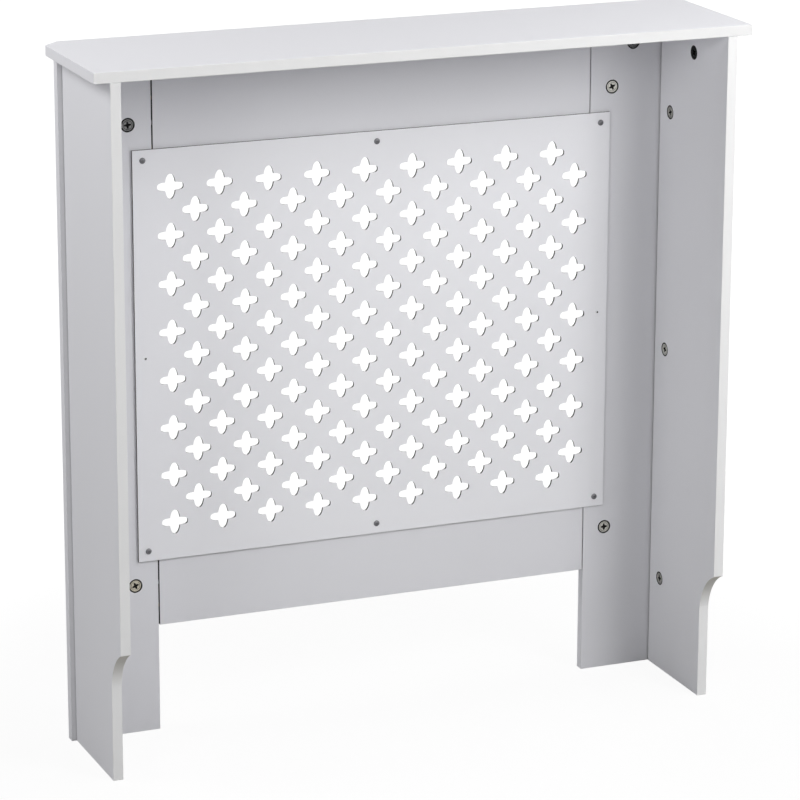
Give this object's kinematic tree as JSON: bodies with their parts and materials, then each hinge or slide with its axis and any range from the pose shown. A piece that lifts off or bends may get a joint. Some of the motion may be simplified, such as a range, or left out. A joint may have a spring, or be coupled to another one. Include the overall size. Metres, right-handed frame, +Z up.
{
  "type": "radiator cover cabinet",
  "caption": "Flat-pack radiator cover: notched side panels, framed front with a cross-pierced grille, a shelf with clipped front corners and an open back.",
  "frame": {"origin": "on the floor, under the middle of the overall box", "axes": "+X along the cover, to the right as seen from the room; +Y towards the wall; +Z up"},
  "size_m": [0.78, 0.19, 0.815],
  "materials": {
    "cover_paint": "white satin paint on fibreboard",
    "grille_paint": "white satin paint on thin fibreboard",
    "cam_zinc": "dull cast zinc, warm grey",
    "screw_steel": "bright zinc plated",
    "bolt_steel": "bright zinc plated",
    "dowel_beech": "bare turned beech"
  },
  "bodies": {
    "root": {"top_shelf": "cover_paint", "side_panel_left": "cover_paint", "side_panel_right": "cover_paint", "stile_left": "cover_paint", "stile_right": "cover_paint", "top_rail": "cover_paint", "bottom_rail": "cover_paint", "grille_panel": "grille_paint", "grille_screw_bottom_left": "screw_steel", "grille_screw_bottom_middle": "screw_steel", "grille_screw_bottom_right": "screw_steel", "grille_screw_top_left": "screw_steel", "grille_screw_top_middle": "screw_steel", "grille_screw_top_right": "screw_steel", "cam_top_rail_left": "cam_zinc", "cam_top_rail_right": "cam_zinc", "cam_bottom_rail_left": "cam_zinc", "cam_bottom_rail_right": "cam_zinc", "cam_side_left_lower": "cam_zinc", "cam_side_left_middle": "cam_zinc", "cam_side_left_upper": "cam_zinc", "cam_side_right_lower": "cam_zinc", "cam_side_right_middle": "cam_zinc", "cam_side_right_upper": "cam_zinc", "cam_shelf_side_left": "cam_zinc", "cam_shelf_side_right": "cam_zinc", "cam_shelf_stile_left": "cam_zinc", "cam_shelf_stile_right": "cam_zinc", "bolt_top_rail_left": "bolt_steel", "bolt_top_rail_right": "bolt_steel", "bolt_bottom_rail_left": "bolt_steel", "bolt_bottom_rail_right": "bolt_steel", "bolt_side_left_lower": "bolt_steel", "bolt_side_left_middle": "bolt_steel", "bolt_side_left_upper": "bolt_steel", "bolt_side_right_lower": "bolt_steel", "bolt_side_right_middle": "bolt_steel", "bolt_side_right_upper": "bolt_steel", "bolt_shelf_side_left": "bolt_steel", "bolt_shelf_side_right": "bolt_steel", "bolt_shelf_stile_left": "bolt_steel", "bolt_shelf_stile_right": "bolt_steel", "dowel_top_rail_left_lower": "dowel_beech", "dowel_top_rail_left_upper": "dowel_beech", "dowel_top_rail_right_lower": "dowel_beech", "dowel_top_rail_right_upper": "dowel_beech", "dowel_bottom_rail_left_lower": "dowel_beech", "dowel_bottom_rail_left_upper": "dowel_beech", "dowel_bottom_rail_right_lower": "dowel_beech", "dowel_bottom_rail_right_upper": "dowel_beech", "dowel_side_left_lower": "dowel_beech", "dowel_side_left_upper": "dowel_beech", "dowel_side_right_lower": "dowel_beech", "dowel_side_right_upper": "dowel_beech"}
  },
  "joints": []
}
